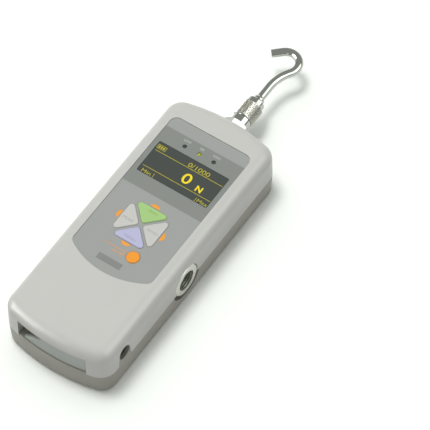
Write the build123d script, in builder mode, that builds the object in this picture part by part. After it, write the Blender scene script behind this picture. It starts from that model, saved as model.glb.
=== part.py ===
from build123d import *
import os
from math import sqrt

# A handheld digital force gauge lying on its back.  Millimetres, +Z out of the face, +Y towards the hook,
# +X to the right when the face is read.  The origin is the middle of the case, on its back plane.

os.makedirs("parts", exist_ok=True)

# Case
body_width = 75.0
body_length = 189.5
body_depth = 38.5
split_height = 16.5
wall = 2.5
end_radius = 120.0
corner_radius = 11.0
face_edge_radius = 8.0
back_edge_radius = 2.5
front_draft = 1.0
rear_draft = 2.5
moulded_gap = 0.2

# Overlay, display window and lamps; drops are measured down from the overlay's top edge
panel_side_margin = 1.0
panel_top_margin = 18.95
panel_length = 115.8
panel_bow = 8.8
panel_corner = 5.0
panel_sink = 1.0
panel_thickness = 0.6
panel_gap = 0.15
window_side = 3.2
window_height = 25.0
window_drop = 32.6
window_flange = 1.5
window_flange_thickness = 1.0
lamp_drop = 15.3
lamp_pitch = 10.5
lamp_radius = 1.2

# Keys
keypad_drop = 76.5
keypad_size = 28.0
keypad_split = 1.8
key_corner = 2.0
key_proud = 0.5
key_edge = 0.35
key_travel = 0.5
key_gap = 0.2
key_flange = 0.6
key_flange_thickness = 1.0
key_hang = 0.1
round_key_x = 9.1
round_key_drop = 97.6
round_key_radius = 4.1
switch_size = 5.2
switch_height = 1.9
plunger_radius = 1.5

# Load line: the shaft, what is screwed on it and what holds it
shaft_radius = 5.0
thread_gap = 0.05
guide_radius = 6.0
running_gap = 0.05
shaft_shoulder_radius = 8.0
shaft_shoulder_length = 6.0
bush_wall = 2.0
seal_gap = 0.3
seal_wall = 1.4
nut_flats = 16.0
nut_thickness = 5.7
nut_turn = 53.0
nut_stand_off = 0.6
sleeve_foot_radius = 6.2
sleeve_foot_length = 5.8
sleeve_grip_radius = 6.95
sleeve_grip_length = 12.0
sleeve_cap_radius = 5.7
sleeve_cap_length = 3.3
sleeve_cap_chamfer = 1.3
sleeve_thread_depth = 12.0

# Hook
rod_radius = 2.65
hook_collar_radius = 3.6
hook_collar_length = 3.4
hook_shank = 10.0
hook_sway_radius = 27.0
hook_sway_turn = 32.0
hook_middle = 2.2
bowl_radius = 8.45
bowl_turn = 165.0
hook_tip = 7.6

# Chassis
plate_side_gap = 0.8
plate_top_gap = 8.75
plate_bottom_gap = 12.75
plate_thickness = 4.0
crossbar_from_bottom = 86.85
crossbar_width = 24.0
crossbar_web = 0.9
guide_block_width = 28.0
guide_block_length = 11.0
guide_web = 1.0
guide_end_stand = 1.0

# Handle bosses
boss_radius = 10.95
boss_length = 13.5
boss_bore_radius = 6.92
boss_bore_depth = 20.0
boss_recess = 0.2
boss_spigot_radius = 8.1
boss_spigot_length = 8.0
boss_front_gap = 0.35
boss_rear_gap = 2.7

# Load cell
cell_width = 38.0
cell_end_room = 10.9
cell_thickness = 16.0
cell_slot = 2.0
cell_slot_inset = 11.0
cell_slot_rest = 7.0
cell_eye_radius = 6.5
cell_eye_pitch = 15.0
cell_throat = 5.0
cell_bolt_radius = 4.0
cell_bolt_head_radius = 6.5
cell_bolt_head = 8.0
cell_bolt_bite = 10.0
gauge_length = 4.0
gauge_width = 5.0
gauge_thickness = 0.3

# Mounting holes and screws
mount_edge = 4.0
mount_pitch_y = 100.0
mount_pad_radius = 5.5
mount_hole_radius = 2.1
mount_hole_depth = 5.5
case_screw_inset = 7.1
case_screw_top_inset = 13.75
case_screw_middle_y = 24.0
case_screw_bottom_inset = 11.75
case_post_radius = 3.6
case_post_split = 8.0
case_screw_radius = 1.5
case_screw_length = 14.0
case_screw_head_radius = 2.75
case_screw_head = 1.9
case_screw_sink = 4.0
chassis_screw_x = 14.0
chassis_screw_top_inset = 12.0
chassis_screw_bottom_inset = 8.0
chassis_screw_radius = 1.5
chassis_screw_head_radius = 2.9
screw_gap = 0.05
head_gap = 0.3

# Boards and what they carry
board_side_gap = 0.3
board_top_drop = 11.8
board_drop = 6.7
board_thickness = 1.6
board_waist_gap = 0.6
board_post_inset = 3.0
board_post_bottom_inset = 2.6
board_post_middle_gap = 9.1
board_post_radius = 2.4
board_screw_radius = 1.1
board_screw_length = 6.0
board_screw_head_radius = 2.1
board_screw_head = 1.3
display_side = 1.0
display_end = 1.2
display_thickness = 2.6
gasket_width = 1.6
buzzer_radius = 5.0
buzzer_height = 5.0
buzzer_x = 15.0
buzzer_gap = 0.6

# Power jack
jack_from_bottom = 23.45
jack_drop = 5.5
jack_hole_radius = 5.0
jack_notch_half_width = 6.3
jack_barrel_radius = 4.5
jack_barrel_length = 4.0
jack_bore_radius = 3.1
jack_bore_depth = 9.5
jack_pin_radius = 1.05
jack_recess = 3.5
jack_body_length = 8.0
jack_body_width = 9.4

# Connector bay in the bottom end
bay_side = 2.2
bay_top_drop = 7.0
bay_lip = 1.6
bay_wall = 1.0
bay_depth = 11.25
socket_stand = 0.3
socket_gap = 0.3
socket_tip_drop = 1.0
usb_x = -13.0
usb_width = 8.4
usb_height = 4.0
usb_length = 9.0
io_x = 7.0
io_width = 19.0
io_height = 5.6
io_length = 8.0
socket_wall = 0.6
socket_depth = 5.0
cover_thickness = 1.6
cover_recess = 0.9
cover_lean = 9.0
cover_finger_gap = 4.6
cover_tip = 1.2
cover_corner_cut = 12.0
cover_gap = 0.35
cover_pin_radius = 0.7
cover_barrel_radius = 1.4
cover_pin_seat = 1.6

# Battery
cell_count = 3
battery_radius = 7.2
battery_length = 43.0
battery_pitch = 15.0
battery_clearance = 3.1
battery_jack_reach = 22.0
tray_wall = 1.2
tray_rim = 9.0

# Small sizes of the details
window_corner = 2.0
lamp_foot_radius = 2.0
board_corner = 2.0
buzzer_port_radius = 1.0
battery_gap = 0.3
plate_corner = 4.0
plate_window_width = 30.0
plate_window_margin = 7.0
crossbar_chamfer = 1.5
boss_chamfer = 0.5
seal_recess = 0.3
cell_gap = 0.5
shaft_end_chamfer = 1.0
nut_cone_height = 1.0
nut_face_radius = 7.8
nut_cone_radius = 9.5
hook_spigot = 6.0
case_screw_slot = 0.8
chassis_screw_cone = 1.5
end_cut_depth = 12.0
side_cut_depth = 8.0
cover_pin_boss = 4.0

# Parts on the underside of the board: x, y, width, length, height
chip_places = (
    (-10.0, -44.0, 12.0, 12.0, 1.4),
    (8.0, -56.0, 8.0, 6.0, 1.6),
    (-12.0, -62.0, 6.0, 8.0, 1.6),
    (-23.0, 24.0, 4.0, 6.0, 1.2),
)

# Levels and places worked out from the sizes above
body_top = body_length / 2
body_side = body_width / 2
cover_ceiling = body_depth - wall
plate_face = wall + plate_thickness
panel_seat = body_depth - panel_sink
panel_face = panel_seat + panel_thickness
panel_width = body_width - 2 * (face_edge_radius + panel_side_margin)
panel_top = body_top - panel_top_margin
panel_bottom = panel_top - panel_length
panel_tip = panel_bottom + panel_bow
window_width = panel_width - 2 * window_side
window_y = panel_top - window_drop
lamp_y = panel_top - lamp_drop
keypad_y = panel_top - keypad_drop
round_key_y = panel_top - round_key_drop
key_flange_face = cover_ceiling - key_hang

# The load line lies midway through the case, and the crossbar stands a fixed way up from the bottom end
shaft_z = body_depth / 2
seal_outer_radius = shaft_radius + seal_gap + seal_wall
bush_outer_radius = guide_radius + running_gap + bush_wall
boss_face_x = body_side - boss_recess
crossbar_half_length = boss_face_x - boss_length
crossbar_y = crossbar_from_bottom - body_top
crossbar_top = shaft_z + boss_spigot_radius + crossbar_web
guide_block_top = shaft_z + bush_outer_radius + guide_web
plate_top = body_top - plate_top_gap
plate_bottom = plate_bottom_gap - body_top
guide_y = plate_top - guide_block_length
guide_end_y = plate_top + guide_end_stand
cell_bottom_y = crossbar_y + crossbar_width / 2
cell_top_y = guide_y - cell_end_room
cell_length = cell_top_y - cell_bottom_y
cell_centre_y = (cell_bottom_y + cell_top_y) / 2
cell_slot_offset = cell_length / 2 - cell_slot_inset
gauge_x = cell_eye_pitch / 2
gauge_y = sqrt(cell_eye_radius**2 - (gauge_length / 2) ** 2) - gauge_thickness / 2 - thread_gap
bolt_head_y = crossbar_y - crossbar_width / 2
shoulder_y = cell_top_y + cell_gap
shaft_foot_y = cell_top_y - cell_bolt_bite + cell_gap
nut_y = body_top + nut_stand_off
sleeve_y = nut_y + nut_thickness
grip_y = sleeve_y + sleeve_foot_length
cap_y = grip_y + sleeve_grip_length
sleeve_end_y = cap_y + sleeve_cap_length + sleeve_cap_chamfer
shaft_end_y = sleeve_y + sleeve_thread_depth - cell_gap

# Screws stand in from the case's sides and ends; plate and board lie between their posts
case_screw_x = body_side - case_screw_inset
case_screw_rows = (
    body_top - case_screw_top_inset,
    case_screw_middle_y,
    case_screw_bottom_inset - body_top,
)
post_inner_x = case_screw_x - case_post_radius
plate_width = 2 * (post_inner_x - plate_side_gap)
plate_window_length = cell_length - 2 * plate_window_margin
mount_x = plate_width / 2 - mount_edge
chassis_screw_rows = (plate_top - chassis_screw_top_inset, plate_bottom + chassis_screw_bottom_inset)

# The bay is as deep as the data sockets stand back, and the board ends behind its wall
bay_half_width = body_side - corner_radius - bay_side
bay_top = body_depth - bay_top_drop
bay_floor = split_height + bay_lip
connector_face = bay_depth - body_top
bay_front_y = connector_face + socket_stand
bay_back_y = bay_front_y + bay_wall

board_face = body_depth - board_drop
board_back = board_face - board_thickness
board_top = panel_top - board_top_drop
board_bottom = bay_back_y + moulded_gap
board_width = 2 * (post_inner_x - board_side_gap)
board_waist = 2 * (crossbar_half_length - board_waist_gap)
board_post_x = board_width / 2 - board_post_inset
board_post_rows = (
    board_top - board_post_inset,
    bolt_head_y - board_post_middle_gap,
    board_bottom + board_post_bottom_inset,
)
display_width = window_width + 2 * display_side
display_height = window_height + 2 * display_end
buzzer_y = bolt_head_y - buzzer_radius - buzzer_gap
plunger_room = board_face + switch_height + key_flange_thickness + key_travel + key_hang
plunger_height = key_flange_face - plunger_room
key_reach = keypad_size / 3
switch_places = [
    (0, keypad_y + key_reach),
    (-key_reach, keypad_y),
    (0, keypad_y - key_reach),
    (key_reach, keypad_y),
    (round_key_x, round_key_y),
]

jack_y = jack_from_bottom - body_top
jack_z = board_back - jack_drop
jack_front_x = body_side - jack_recess
jack_back_x = jack_front_x - jack_barrel_length - jack_body_length

# The cells lie between the load cell's bolt and the bottom end, to the left of the jack
tray_half_width = (cell_count - 1) / 2 * battery_pitch + battery_radius + battery_gap + tray_wall
tray_length = battery_length + 2 * tray_wall
battery_x = jack_back_x - battery_jack_reach
battery_top_y = bolt_head_y - cell_bolt_head - battery_clearance
battery_middle_y = battery_top_y - battery_length / 2
battery_z = plate_face + tray_wall + battery_radius + battery_gap
battery_places = [
    (battery_x + (i - (cell_count - 1) / 2) * battery_pitch, battery_z) for i in range(cell_count)
]


def in_pairs(x, rows):
    """Places on both sides of the middle, at x, in each row."""
    return [(side * x, row) for side in (-1, 1) for row in rows]


case_screw_places = in_pairs(case_screw_x, case_screw_rows)
chassis_screw_places = in_pairs(chassis_screw_x, chassis_screw_rows)
mount_places = in_pairs(mount_x, (-mount_pitch_y / 2, mount_pitch_y / 2))
board_post_places = in_pairs(board_post_x, board_post_rows)


def save(piece, name):
    """Label a finished piece and write it under its own name."""
    piece.part.label = name
    export_step(piece.part, f"parts/{name}.step")


# ---------------------------------------------------------------- case halves


def case_outline(inset=0.0):
    """Plan of the case: straight sides, bowed ends, rounded corners."""
    half_width = body_side - inset
    end = body_top - inset
    bow = end_radius - inset
    shoulder = end - (bow - sqrt(bow**2 - half_width**2))
    with BuildSketch() as outline:
        with BuildLine():
            Line((half_width, -shoulder), (half_width, shoulder))
            ThreePointArc((half_width, shoulder), (0, end), (-half_width, shoulder))
            Line((-half_width, shoulder), (-half_width, -shoulder))
            ThreePointArc((-half_width, -shoulder), (0, -end), (half_width, -shoulder))
        make_face()
        fillet(outline.vertices(), corner_radius - inset)
    return outline.sketch


def drafted_block(inset, base, far, angle):
    """The case's plan raised from base to far, with walls that draw in towards far."""
    upward = 1 if far > base else -1
    with BuildPart() as block:
        with BuildSketch(Plane.XY.offset(base)):
            add(case_outline(inset))
        extrude(amount=far - base)
        walls = block.faces().sort_by(Axis.Z)[1:-1]
        draft(walls, Plane.XY.offset(base), upward * angle)
    return block


def case_block(inset, far, angle, edge_radius=0.0):
    """One half of the case as a solid from the parting line, with a round edge on its far face."""
    with drafted_block(inset, split_height, far, angle) as block:
        if edge_radius:
            far_face = block.faces().sort_by(Axis.Z)[-1 if far > split_height else 0]
            fillet(far_face.edges(), edge_radius)
    return block.part


front_outer = case_block(0.0, body_depth, front_draft, face_edge_radius)
front_inner = case_block(wall, cover_ceiling, front_draft, face_edge_radius - wall)
rear_outer = case_block(0.0, 0.0, rear_draft, back_edge_radius)
rear_inner = case_block(wall, wall, rear_draft)

with BuildPart() as front_wall:
    add(front_outer)
    add(front_inner, mode=Mode.SUBTRACT)

# Everything inside the case's outer form, down to the feet of the front cover's posts
with BuildPart() as case_form:
    add(front_outer)
    add(case_block(wall + moulded_gap, wall, rear_draft))


def panel_outline(growth=0.0):
    """The overlay: square shoulders with round corners, and a bowed foot."""
    half = panel_width / 2
    with BuildSketch() as outline:
        with BuildLine():
            Polyline((-half, panel_tip), (-half, panel_top), (half, panel_top), (half, panel_tip))
            ThreePointArc((half, panel_tip), (0, panel_bottom), (-half, panel_tip))
        make_face()
        fillet(outline.vertices().group_by(Axis.Y)[-1], panel_corner)
        if growth:
            offset(amount=growth)
    return outline.sketch


def key_outline(growth=0.0):
    """The upper key of the pad: a quarter of the square with rounded corners."""
    half = keypad_size / 2
    tip = keypad_split / sqrt(2)
    with BuildSketch() as outline:
        with BuildLine():
            Polyline((tip - half, half), (half - tip, half), (0, tip), close=True)
        make_face()
        fillet(outline.vertices(), key_corner)
        if growth:
            offset(amount=growth)
    return outline.sketch


key_turns = {"key_top": 0, "key_left": 90, "key_bottom": 180, "key_right": 270}
keypad_centre = (0, keypad_y)
round_key_centre = (round_key_x, round_key_y)
lamp_places = {"lamp_low": -lamp_pitch, "lamp_pass": 0.0, "lamp_high": lamp_pitch}


def face_openings(growth):
    """Openings for the keys, common to the overlay and the case."""
    with BuildSketch() as openings:
        for turn in key_turns.values():
            with Locations(keypad_centre):
                add(key_outline(growth), rotation=turn)
        with Locations(round_key_centre):
            Circle(round_key_radius + growth)
        with Locations(*[(x, lamp_y) for x in lamp_places.values()]):
            Circle(lamp_radius + growth)
    return openings.sketch


side_plane = Plane(origin=(0, 0, 0), x_dir=(0, 1, 0), z_dir=(1, 0, 0))
end_plane = Plane(origin=(0, 0, 0), x_dir=(-1, 0, 0), z_dir=(0, 1, 0))
jack_centre = (jack_y, jack_z)
boss_centre = (crossbar_y, shaft_z)
cover_pin_x = bay_half_width - cover_gap - cover_barrel_radius
cover_left_x = cover_finger_gap - bay_half_width
bay_face_y = -(body_top - (end_radius - sqrt(end_radius**2 - cover_pin_x**2)))
cover_pin_y = bay_face_y + cover_recess + cover_barrel_radius
cover_pin_centre = (cover_pin_x, cover_pin_y)


def jack_notch(inset):
    """The notch under the jack hole: a trapezium as wide as the hole at its middle."""
    with BuildSketch() as notch:
        with BuildLine():
            foot = jack_notch_half_width - inset
            head = jack_hole_radius - inset
            Polyline(
                (jack_y - foot, split_height - wall),
                (jack_y - foot, split_height),
                (jack_y - head, jack_z),
                (jack_y + head, jack_z),
                (jack_y + foot, split_height),
                (jack_y + foot, split_height - wall),
                close=True,
            )
        make_face()
    return notch.sketch


with BuildPart() as front_posts:
    with BuildSketch(Plane.XY.offset(case_post_split)):
        with Locations(*case_screw_places):
            Circle(case_post_radius)
    extrude(amount=body_depth - case_post_split)
    with BuildSketch(Plane.XY.offset(board_face)):
        with Locations(*board_post_places):
            Circle(board_post_radius)
    extrude(amount=body_depth - board_face)
    add(case_form.part, mode=Mode.INTERSECT)
    with BuildSketch(Plane.XY.offset(case_post_split)):
        with Locations(*case_screw_places):
            Circle(case_screw_radius + screw_gap)
    extrude(amount=case_screw_length, mode=Mode.SUBTRACT)
    with BuildSketch(Plane.XY.offset(board_face)):
        with Locations(*board_post_places):
            Circle(board_screw_radius + screw_gap)
    extrude(amount=cover_ceiling - board_face, mode=Mode.SUBTRACT)

# The bay's sides, top and back, with a window for each data socket
with BuildPart() as bay_box:
    with BuildSketch(Plane.XZ.offset(-bay_back_y)):
        with Locations((0, (split_height + bay_top + bay_wall) / 2)):
            Rectangle(2 * (bay_half_width + bay_wall), bay_top + bay_wall - split_height)
    extrude(amount=body_top + bay_back_y)
    with BuildSketch(Plane.XZ.offset(-bay_back_y)):
        for x, width, height in ((usb_x, usb_width, usb_height), (io_x, io_width, io_height)):
            with Locations((x, board_back - height / 2)):
                Rectangle(width + 2 * socket_gap, height + 2 * socket_gap)
    extrude(amount=bay_wall, mode=Mode.SUBTRACT)
    add(case_form.part, mode=Mode.INTERSECT)

with BuildPart() as front_cover:
    add(front_wall.part)
    add(front_posts.part)
    add(bay_box.part)
    # Seat of the overlay, and the openings under it
    with BuildSketch(Plane.XY.offset(panel_seat)):
        add(panel_outline(panel_gap))
    extrude(amount=panel_sink, mode=Mode.SUBTRACT)
    with BuildSketch(Plane.XY.offset(panel_seat)):
        add(face_openings(key_gap))
        with Locations((0, window_y)):
            RectangleRounded(
                window_width + 2 * (window_flange + panel_gap),
                window_height + 2 * (window_flange + panel_gap),
                window_corner,
            )
    extrude(amount=-wall, mode=Mode.SUBTRACT)
    # Connector bay, from its back wall out through the bottom end
    with BuildSketch(Plane.XZ.offset(-bay_front_y)):
        with Locations((0, (split_height + bay_top) / 2)):
            Rectangle(2 * bay_half_width, bay_top - split_height)
    extrude(amount=body_top + bay_front_y, mode=Mode.SUBTRACT)
    # Jack hole and the notch below it
    with BuildSketch(side_plane.offset(body_side - side_cut_depth)):
        add(jack_notch(0.0))
        with Locations(jack_centre):
            Circle(jack_hole_radius)
    extrude(amount=2 * side_cut_depth, mode=Mode.SUBTRACT)
    # Clearance round the handle bosses and the shaft
    with BuildSketch(side_plane):
        with Locations(boss_centre):
            Circle(boss_radius + boss_front_gap)
    extrude(amount=body_width, both=True, mode=Mode.SUBTRACT)
    with BuildSketch(end_plane.offset(body_top - end_cut_depth)):
        with Locations((0, shaft_z)):
            Circle(seal_outer_radius)
    extrude(amount=2 * end_cut_depth, mode=Mode.SUBTRACT)
    # Blind seat for the top of the cover's pin
    with BuildSketch(Plane.XY.offset(bay_top)):
        with Locations(cover_pin_centre):
            Circle(cover_pin_radius + screw_gap)
    extrude(amount=cover_pin_seat, mode=Mode.SUBTRACT)
save(front_cover, "front_cover")

# The tongue that rises into the jack notch, and the shelf that floors the bay, follow the front cover
with BuildPart() as jack_tongue:
    add(front_wall.part)
    with BuildSketch(side_plane.offset(body_side - side_cut_depth)):
        add(jack_notch(moulded_gap))
        with Locations(jack_centre):
            Circle(jack_hole_radius, mode=Mode.SUBTRACT)
    extrude(amount=2 * side_cut_depth, mode=Mode.INTERSECT)

with BuildPart() as bay_shelf:
    add(front_outer)
    with BuildSketch(Plane.XZ.offset(moulded_gap - bay_front_y)):
        with Locations((0, split_height + bay_lip / 2)):
            Rectangle(2 * (bay_half_width - moulded_gap), bay_lip)
    extrude(amount=body_top + bay_front_y, mode=Mode.INTERSECT)

with BuildPart() as rear_cover:
    add(rear_outer)
    add(rear_inner, mode=Mode.SUBTRACT)
    # Posts for the case screws end where the front cover's posts begin
    with BuildSketch(Plane.XY.offset(wall / 2)):
        with Locations(*case_screw_places):
            Circle(case_post_radius)
    extrude(amount=case_post_split - wall / 2)
    # Boss that takes the foot of the cover's pin
    with BuildSketch(Plane.XY.offset(split_height - cover_pin_boss)):
        with Locations(cover_pin_centre):
            Circle(cover_barrel_radius)
    extrude(amount=cover_pin_boss + bay_lip)
    add(jack_tongue.part)
    add(bay_shelf.part)
    with BuildSketch(Plane.XY.offset(bay_floor)):
        with Locations(cover_pin_centre):
            Circle(cover_pin_radius + screw_gap)
    extrude(amount=-cover_pin_seat, mode=Mode.SUBTRACT)
    # Stepped holes for the case screws
    with BuildSketch():
        with Locations(*case_screw_places):
            Circle(case_screw_radius + screw_gap)
    extrude(amount=case_post_split, mode=Mode.SUBTRACT)
    with BuildSketch():
        with Locations(*case_screw_places):
            Circle(case_screw_head_radius + head_gap)
    extrude(amount=case_screw_sink, mode=Mode.SUBTRACT)
    # Holes for the chassis pads, and countersinks for the chassis screws
    with BuildSketch():
        with Locations(*mount_places):
            Circle(mount_pad_radius + head_gap)
        with Locations(*chassis_screw_places):
            Circle(chassis_screw_radius + screw_gap)
    extrude(amount=wall, mode=Mode.SUBTRACT)
    with Locations(*[(x, y, 0) for x, y in chassis_screw_places]):
        Cone(
            chassis_screw_head_radius + screw_gap,
            chassis_screw_radius + screw_gap,
            chassis_screw_cone,
            align=(Align.CENTER, Align.CENTER, Align.MIN),
            mode=Mode.SUBTRACT,
        )
    # Clearance round the handle bosses and the shaft
    with BuildSketch(side_plane):
        with Locations(boss_centre):
            Circle(boss_radius + boss_rear_gap)
    extrude(amount=body_width, both=True, mode=Mode.SUBTRACT)
    with BuildSketch(end_plane.offset(body_top - end_cut_depth)):
        with Locations((0, shaft_z)):
            Circle(seal_outer_radius)
    extrude(amount=2 * end_cut_depth, mode=Mode.SUBTRACT)
save(rear_cover, "rear_cover")

# ---------------------------------------------------------------- overlay, window, lamps, keys

with BuildPart() as face_panel:
    with BuildSketch(Plane.XY.offset(panel_seat)):
        add(panel_outline())
        add(face_openings(key_gap), mode=Mode.SUBTRACT)
        with Locations((0, window_y)):
            RectangleRounded(window_width, window_height, window_corner / 2, mode=Mode.SUBTRACT)
    extrude(amount=panel_thickness)
save(face_panel, "face_panel")

with BuildPart() as display_window:
    with BuildSketch(Plane.XY.offset(panel_seat - window_flange_thickness)):
        with Locations((0, window_y)):
            RectangleRounded(
                window_width + 2 * window_flange, window_height + 2 * window_flange, window_corner
            )
    extrude(amount=window_flange_thickness)
    with BuildSketch(Plane.XY.offset(panel_seat)):
        with Locations((0, window_y)):
            RectangleRounded(
                window_width - 2 * panel_gap, window_height - 2 * panel_gap, window_corner / 2
            )
    extrude(amount=panel_thickness - panel_gap)
save(display_window, "display_window")

for name, x in lamp_places.items():
    with BuildPart() as lamp:
        with BuildSketch(Plane.XY.offset(board_face)):
            with Locations((x, lamp_y)):
                Circle(lamp_foot_radius)
        extrude(amount=cover_ceiling - board_face - key_hang)
        with BuildSketch(Plane.XY.offset(board_face)):
            with Locations((x, lamp_y)):
                Circle(lamp_radius)
        extrude(amount=panel_face - board_face)
        fillet(lamp.faces().sort_by(Axis.Z)[-1].edges(), lamp_radius / 2)
    save(lamp, name)


def key_piece(shape, flange_shape):
    """A key cap that stands proud of the overlay, with the flange that keeps it in the case."""
    with BuildPart() as key:
        with BuildSketch(Plane.XY.offset(key_flange_face)):
            add(shape)
        extrude(amount=panel_face + key_proud - key_flange_face)
        chamfer(key.faces().sort_by(Axis.Z)[-1].edges(), key_edge)
        with BuildSketch(Plane.XY.offset(key_flange_face)):
            add(flange_shape)
        extrude(amount=-key_flange_thickness)
    return key


def pad_key(turn, growth):
    """One key's outline turned to its side of the pad."""
    with BuildSketch() as placed:
        with Locations(keypad_centre):
            add(key_outline(growth), rotation=turn)
    return placed.sketch


for name, turn in key_turns.items():
    save(key_piece(pad_key(turn, 0.0), pad_key(turn, key_flange)), name)


def round_key_disc(radius):
    """Outline of the round key."""
    with BuildSketch() as disc:
        with Locations(round_key_centre):
            Circle(radius)
    return disc.sketch


save(key_piece(round_key_disc(round_key_radius), round_key_disc(round_key_radius + key_flange)), "round_key")

# ---------------------------------------------------------------- boards

with BuildPart() as key_switches:
    with BuildSketch(Plane.XY.offset(board_face)):
        with Locations(*switch_places):
            Rectangle(switch_size, switch_size)
    extrude(amount=switch_height)
    with BuildSketch(Plane.XY.offset(board_face + switch_height)):
        with Locations(*switch_places):
            Circle(plunger_radius)
    extrude(amount=plunger_height)
save(key_switches, "key_switches")

with BuildPart() as main_board:
    with BuildSketch(Plane.XY.offset(board_face - board_thickness)):
        with Locations((0, (board_top + board_bottom) / 2)):
            RectangleRounded(board_width, board_top - board_bottom, board_corner)
        # The board is waisted between the handle bosses
        with Locations((-board_width / 2, crossbar_y), (board_width / 2, crossbar_y)):
            Rectangle(board_width - board_waist, crossbar_width + 2 * boss_rear_gap, mode=Mode.SUBTRACT)
        with Locations(*board_post_places):
            Circle(board_screw_radius + screw_gap, mode=Mode.SUBTRACT)
    extrude(amount=board_thickness)
save(main_board, "main_board")

with BuildPart() as board_screws:
    with BuildSketch(Plane.XY.offset(board_back)):
        with Locations(*board_post_places):
            Circle(board_screw_head_radius)
    extrude(amount=-board_screw_head)
    with BuildSketch(Plane.XY.offset(board_back)):
        with Locations(*board_post_places):
            Circle(board_screw_radius)
    extrude(amount=min(board_screw_length, cover_ceiling - board_back - screw_gap))
save(board_screws, "board_screws")

with BuildPart() as board_chips:
    for x, y, width, length, height in chip_places:
        with BuildSketch(Plane.XY.offset(board_back)):
            with Locations((x, y)):
                Rectangle(width, length)
        extrude(amount=-height)
save(board_chips, "board_chips")

with BuildPart() as buzzer:
    with BuildSketch(Plane.XY.offset(board_back)):
        with Locations((buzzer_x, buzzer_y)):
            Circle(buzzer_radius)
    extrude(amount=-buzzer_height)
    with BuildSketch(Plane.XY.offset(board_back - buzzer_height)):
        with Locations((buzzer_x, buzzer_y)):
            Circle(buzzer_port_radius)
    extrude(amount=buzzer_height / 2, mode=Mode.SUBTRACT)
save(buzzer, "buzzer")

with BuildPart() as display_module:
    with BuildSketch(Plane.XY.offset(board_face)):
        with Locations((0, window_y)):
            Rectangle(display_width, display_height)
    extrude(amount=display_thickness)
save(display_module, "display_module")

with BuildPart() as display_gasket:
    with BuildSketch(Plane.XY.offset(board_face + display_thickness)):
        with Locations((0, window_y)):
            Rectangle(display_width, display_height)
            Rectangle(
                display_width - 2 * gasket_width, display_height - 2 * gasket_width, mode=Mode.SUBTRACT
            )
    extrude(amount=panel_seat - window_flange_thickness - board_face - display_thickness)
save(display_gasket, "display_gasket")


def socket(x, width, height, length):
    """A shell socket hung under the board, open towards the connector bay, with its contact bar."""
    middle = board_back - height / 2
    front = Plane.XZ.offset(-connector_face)
    with BuildPart() as shell:
        with BuildSketch(front):
            with Locations((x, middle)):
                RectangleRounded(width, height, socket_wall)
        extrude(amount=-length)
        with BuildSketch(front):
            with Locations((x, middle)):
                RectangleRounded(width - 2 * socket_wall, height - 2 * socket_wall, socket_wall / 2)
        extrude(amount=-socket_depth, mode=Mode.SUBTRACT)
        with BuildSketch(front.offset(-socket_depth)):
            with Locations((x, middle)):
                Rectangle(width / 2, height / 4)
        extrude(amount=socket_depth - socket_tip_drop)
    return shell


save(socket(usb_x, usb_width, usb_height, usb_length), "usb_socket")
save(socket(io_x, io_width, io_height, io_length), "io_connector")

with BuildPart() as dc_jack:
    with BuildSketch(side_plane.offset(jack_front_x - jack_barrel_length)):
        with Locations((jack_y, (board_back + jack_z - jack_body_width / 2) / 2)):
            Rectangle(jack_body_width, board_back - jack_z + jack_body_width / 2)
    extrude(amount=-jack_body_length)
    with BuildSketch(side_plane.offset(jack_front_x)):
        with Locations(jack_centre):
            Circle(jack_barrel_radius)
    extrude(amount=-jack_barrel_length)
    with BuildSketch(side_plane.offset(jack_front_x)):
        with Locations(jack_centre):
            Circle(jack_bore_radius)
    extrude(amount=-jack_bore_depth, mode=Mode.SUBTRACT)
save(dc_jack, "dc_jack")

with BuildPart() as dc_jack_pin:
    with BuildSketch(side_plane.offset(jack_front_x - jack_bore_depth)):
        with Locations(jack_centre):
            Circle(jack_pin_radius)
    extrude(amount=jack_bore_depth - jack_pin_radius)
    fillet(dc_jack_pin.faces().sort_by(Axis.X)[-1].edges(), jack_pin_radius / 2)
save(dc_jack_pin, "dc_jack_pin")

# ---------------------------------------------------------------- battery

with BuildPart() as battery_tray:
    with BuildSketch(Plane.XY.offset(plate_face)):
        with Locations((battery_x, battery_middle_y)):
            RectangleRounded(2 * tray_half_width, tray_length, tray_wall)
    extrude(amount=tray_rim)
    with BuildSketch(Plane.XZ.offset(-battery_top_y)):
        with Locations(*battery_places):
            Circle(battery_radius + battery_gap)
        with Locations((battery_x, battery_z + tray_rim)):
            Rectangle(2 * (tray_half_width - tray_wall), 2 * tray_rim)
    extrude(amount=battery_length, mode=Mode.SUBTRACT)
save(battery_tray, "battery_tray")

with BuildPart() as battery_cells:
    with BuildSketch(Plane.XZ.offset(-battery_top_y + battery_gap)):
        with Locations(*battery_places):
            Circle(battery_radius)
    extrude(amount=battery_length - 2 * battery_gap)
save(battery_cells, "battery_cells")

# ---------------------------------------------------------------- chassis and bosses

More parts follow.
